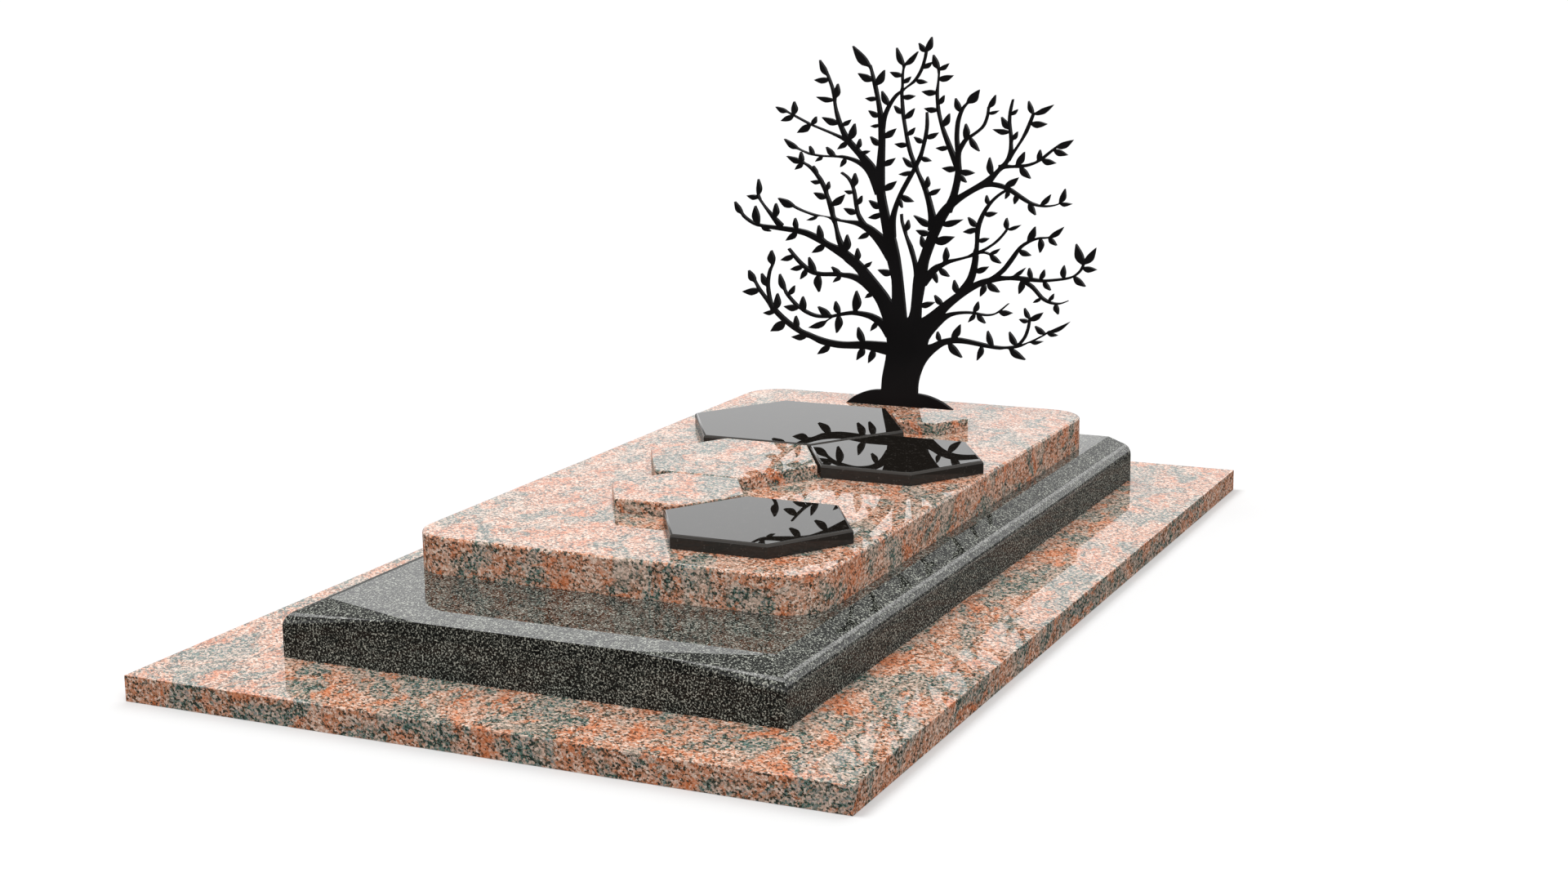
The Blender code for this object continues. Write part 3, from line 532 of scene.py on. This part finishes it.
class MONUMENT_OT_plinth(bpy.types.Operator):
    """Cuts the plinth's slopes, rounded noses and tapering front corners from a block"""

    bl_idname = "monument.plinth"
    bl_label = "Plinth"

    def execute(self, context):
        sizes = context.scene.monument_sizes
        low, high = (Vector(corner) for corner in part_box("plinth"))
        profile = self.profile(sizes, high.z)
        turn = sizes.corner_cut_back / sizes.slope_inset
        bm = block("plinth")
        for side in (-1, 1):
            apex = Vector((side * sizes.apex_from_middle, low.y, high.z))
            outside = high.x if side > 0 else low.x
            corners = [Vector((outside - side * inset, low.y + inset * turn, z)) for inset, z in profile]
            for foot, head in zip(corners, corners[1:]):
                self.cut(bm, foot, (head - foot).cross(Vector((0, side, 0))))
                self.cut(bm, apex, (head - apex).cross(foot - apex) * -side)
        finish_piece(bm, "plinth", crease=PLINTH_CREASE)
        return {"FINISHED"}

    def profile(self, sizes, top):
        """Points, as inset and height, up the long side from the foot of the nose to the flat top."""
        slope_foot = top - sizes.nose_drop
        slope = sizes.nose_drop / (sizes.slope_inset - sizes.nose_inset)
        pull = slope_foot - slope * sizes.nose_inset
        start = slope_foot - sizes.nose_height
        points = []
        for step in range(sizes.nose_steps + 1):
            share = step / sizes.nose_steps
            height = (1 - share) ** 2 * start + 2 * share * (1 - share) * pull + share**2 * slope_foot
            points.append((share**2 * sizes.nose_inset, height))
        points.append((sizes.slope_inset, top))
        return points

    def cut(self, bm, place, normal):
        """Takes off what lies beyond the plane, and closes the cut."""
        if normal.z < 0:
            normal = -normal
        geometry = list(bm.verts) + list(bm.edges) + list(bm.faces)
        made = bmesh.ops.bisect_plane(
            bm, geom=geometry, dist=1e-7, plane_co=place, plane_no=normal.normalized(), clear_outer=True
        )
        cuts = [item for item in made["geom_cut"] if isinstance(item, bmesh.types.BMEdge)]
        edges = [edge for edge in cuts if edge.is_boundary]
        if edges:
            bmesh.ops.contextual_create(bm, geom=edges)


class MONUMENT_OT_tomb_slab(bpy.types.Operator):
    """Shapes the tomb slab with round corners and a rounded top edge"""

    bl_idname = "monument.tomb_slab"
    bl_label = "Tomb slab"

    def execute(self, context):
        sizes = context.scene.monument_sizes
        bm = block("tomb_slab")
        round_off(bm, upright_edges(bm), sizes.tomb_corner, TOMB_CORNER_STEPS)
        round_off(bm, top_edges(bm), sizes.tomb_arris, TOMB_ARRIS_STEPS)
        finish_piece(bm, "tomb_slab")
        return {"FINISHED"}


class MONUMENT_OT_plaques(bpy.types.Operator):
    """Shapes the six hexagonal plaques"""

    bl_idname = "monument.plaques"
    bl_label = "Hexagonal plaques"

    def execute(self, context):
        sizes = context.scene.monument_sizes
        for node in PLAQUES:
            low, high = (Vector(corner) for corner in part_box(node))
            middle = (low + high) / 2
            span = (high - low) / 2
            bm = bmesh.new()
            bmesh.ops.create_cone(
                bm,
                cap_ends=True,
                segments=6,
                radius1=1.0,
                radius2=1.0,
                depth=2.0,
                matrix=Matrix.Rotation(math.radians(30), 4, "Z"),
            )
            wide = max(vert.co.x for vert in bm.verts)
            deep = max(vert.co.y for vert in bm.verts)
            bmesh.ops.scale(bm, vec=(span.x / wide, span.y / deep, span.z), verts=bm.verts)
            bmesh.ops.translate(bm, vec=middle, verts=bm.verts)
            arris = sizes.black_arris if "black" in node else sizes.pink_arris
            round_off(bm, top_edges(bm), arris, PLAQUE_ARRIS_STEPS)
            finish_piece(bm, node)
        return {"FINISHED"}


class MONUMENT_OT_tree(bpy.types.Operator):
    """Rounds the outline of the cut-out tree between its sharp corners"""

    bl_idname = "monument.tree"
    bl_label = "Tree"

    rounds = 2
    # How far a new point stands off its side, as a share of the side's length
    bulge_share = 1 / 16

    def execute(self, context):
        sharpest = context.scene.monument_sizes.leaf_corner
        low, high = (Vector(corner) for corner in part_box("tree"))
        plate = bmesh.new()
        for outline in self.outlines(low.y):
            for _ in range(self.rounds):
                outline = self.rounded(outline, sharpest)
            corners = [plate.verts.new(point) for point in outline]
            for first, second in zip(corners, corners[1:] + corners[:1]):
                plate.edges.new((first, second))
        bmesh.ops.triangle_fill(plate, edges=plate.edges, use_beauty=True, normal=(0, -1, 0))
        grown = bmesh.ops.extrude_face_region(plate, geom=plate.faces)
        moved = [item for item in grown["geom"] if isinstance(item, bmesh.types.BMVert)]
        bmesh.ops.translate(plate, vec=(0, high.y - low.y, 0), verts=moved)
        finish_piece(plate, "tree")
        return {"FINISHED"}

    def outlines(self, front):
        """The rings of points round the solid's front face, its outer one and those of its openings."""
        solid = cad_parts["tree"]
        bm = bmesh.new()
        bm.from_mesh(solid.data)
        bm.transform(solid.matrix_world)
        bmesh.ops.remove_doubles(bm, verts=bm.verts, dist=1e-6)
        level = [face for face in bm.faces if all(abs(vert.co.y - front) < NEAR for vert in face.verts)]
        following = {}
        for face in level:
            for loop in face.loops:
                if any(abs(side.normal.y) < 0.5 for side in loop.edge.link_faces):
                    following[loop.vert] = loop.link_loop_next.vert
        rings = []
        while following:
            vert, after = following.popitem()
            ring = [vert.co.copy()]
            while after in following:
                ring.append(after.co.copy())
                after = following.pop(after)
            rings.append(ring)
        bm.free()
        return rings

    def rounded(self, points, sharpest):
        """The ring with a point more on each side, curved except at corners sharper than the sharpest."""
        steps = [after - before for before, after in zip(points[-1:] + points[:-1], points)]
        sharp = [step.angle(after) > sharpest for step, after in zip(steps, steps[1:] + steps[:1])]
        result = []
        for index, start in enumerate(points):
            far = (index + 1) % len(points)
            end = points[far]
            side = end - start
            before = side if sharp[index] else start - points[index - 1]
            after = side if sharp[far] else points[(index + 2) % len(points)] - end
            bulge = before.normalized() - after.normalized()
            result += [start, (start + end) / 2 + bulge * (side.length * self.bulge_share)]
        return result


class MONUMENT_OT_stage(bpy.types.Operator):
    """Sets out the pale floor, the studio light and the camera"""

    bl_idname = "monument.stage"
    bl_label = "Floor, light and camera"

    camera_place = (2.0355, -4.2337, 1.3171)
    camera_azimuth = math.radians(25.086)
    camera_elevation = math.radians(12.284)
    camera_roll = -0.01215555
    camera_lens = 53.73
    camera_sensor = 36.0
    # Name, the way the light falls, its strength, and its spread in degrees
    lamps = (
        ("key", (0.45, 0.10, -1.0), 1.7, 25),
        ("fill", (-0.50, 0.50, -1.0), 1.75, 45),
        ("rim", (0.0, -0.70, -1.0), 1.2, 50),
    )
    light_below = 0.16
    light_at_horizon = 1.12
    light_above = 0.35
    # Heights in the sky, as the sine of the elevation, over which its light rises and falls
    rise_over = (-0.04, 0.02)
    fall_over = (0.26, 0.45)
    floor_reach = 200.0
    floor_drop = 0.0005
    floor_tone = 0.61

    def execute(self, context):
        scene = context.scene
        scene.view_settings.view_transform = "Standard"
        world = bpy.data.worlds.new("studio")
        scene.world = world
        studio = Web(world, "Background")
        studio.set(color=(*scene.monument_tones.backdrop, 1.0))
        direction = studio.node("ShaderNodeTexCoord", {}, {}, output="Generated")
        height = studio.node("ShaderNodeSeparateXYZ", {}, {"Vector": direction}, output="Z")
        rising = studio.level(height, *self.rise_over, self.light_below, self.light_at_horizon)
        dimming = studio.level(height, *self.fall_over, 0.0, self.light_at_horizon - self.light_above)
        studio.set(strength=rising - dimming)
        self.make_floor(scene)
        self.make_light(scene)
        self.make_camera(scene)
        return {"FINISHED"}

    def make_floor(self, scene):
        bm = bmesh.new()
        bmesh.ops.create_grid(bm, x_segments=1, y_segments=1, size=self.floor_reach)
        mesh = bpy.data.meshes.new("floor")
        bmesh.ops.translate(bm, vec=(0, 0, -self.floor_drop), verts=bm.verts)
        bm.to_mesh(mesh)
        bm.free()
        finish = Finish("floor_paint")
        tint = (self.floor_tone, self.floor_tone, self.floor_tone, 1.0)
        finish.set(base_color=tint, roughness=0.9, specular_ior_level=0.0)
        mesh.materials.append(finish.material)
        floor = bpy.data.objects.new("floor", mesh)
        scene.collection.objects.link(floor)
        floor.visible_diffuse = False
        floor.visible_glossy = False

    def make_light(self, scene):
        for name, falling, energy, spread in self.lamps:
            light = bpy.data.lights.new(name, "SUN")
            light.energy = energy
            light.angle = math.radians(spread)
            lamp = bpy.data.objects.new(name, light)
            lamp.rotation_euler = Vector(falling).to_track_quat("-Z", "Y").to_euler()
            lamp.visible_glossy = False
            scene.collection.objects.link(lamp)

    def make_camera(self, scene):
        turn, rise, roll = self.camera_azimuth, self.camera_elevation, self.camera_roll
        back = Vector((math.sin(turn) * math.cos(rise), -math.cos(turn) * math.cos(rise), math.sin(rise)))
        right = (-back).cross(Vector((0, 0, 1))).normalized()
        up = right.cross(-back)
        rolled_right = right * math.cos(roll) + up * math.sin(roll)
        rolled_up = up * math.cos(roll) - right * math.sin(roll)
        lens = bpy.data.cameras.new("camera")
        lens.lens = self.camera_lens
        lens.sensor_width = self.camera_sensor
        camera = bpy.data.objects.new("camera", lens)
        turned = Matrix((rolled_right, rolled_up, back)).transposed().to_4x4()
        camera.matrix_world = Matrix.Translation(self.camera_place) @ turned
        scene.collection.objects.link(camera)
        scene.camera = camera


class MONUMENT_PT_panel(bpy.types.Panel):
    bl_label = "Grave monument"
    bl_idname = "MONUMENT_PT_panel"
    bl_space_type = "VIEW_3D"
    bl_region_type = "UI"
    bl_category = "Monument"

    def draw(self, context):
        column = self.layout.column()
        for group in (context.scene.monument_sizes, context.scene.monument_tones):
            for name in group.bl_rna.properties.keys():
                if name not in ("name", "rna_type"):
                    column.prop(group, name)
        for operator in OPERATORS:
            column.operator(operator.bl_idname)


OPERATORS = (
    MONUMENT_OT_base_slab,
    MONUMENT_OT_plinth,
    MONUMENT_OT_tomb_slab,
    MONUMENT_OT_plaques,
    MONUMENT_OT_tree,
    MONUMENT_OT_stage,
)
CLASSES = (MonumentSizes, MonumentTones, *OPERATORS, MONUMENT_PT_panel)


def register():
    for kind in CLASSES:
        bpy.utils.register_class(kind)
    bpy.types.Scene.monument_sizes = bpy.props.PointerProperty(type=MonumentSizes)
    bpy.types.Scene.monument_tones = bpy.props.PointerProperty(type=MonumentTones)


def unregister():
    del bpy.types.Scene.monument_sizes
    del bpy.types.Scene.monument_tones
    for kind in reversed(CLASSES):
        bpy.utils.unregister_class(kind)


def main():
    register()
    bpy.ops.monument.base_slab()
    bpy.ops.monument.plinth()
    bpy.ops.monument.tomb_slab()
    bpy.ops.monument.plaques()
    bpy.ops.monument.tree()
    bpy.ops.monument.stage()


if __name__ == "__main__":
    main()
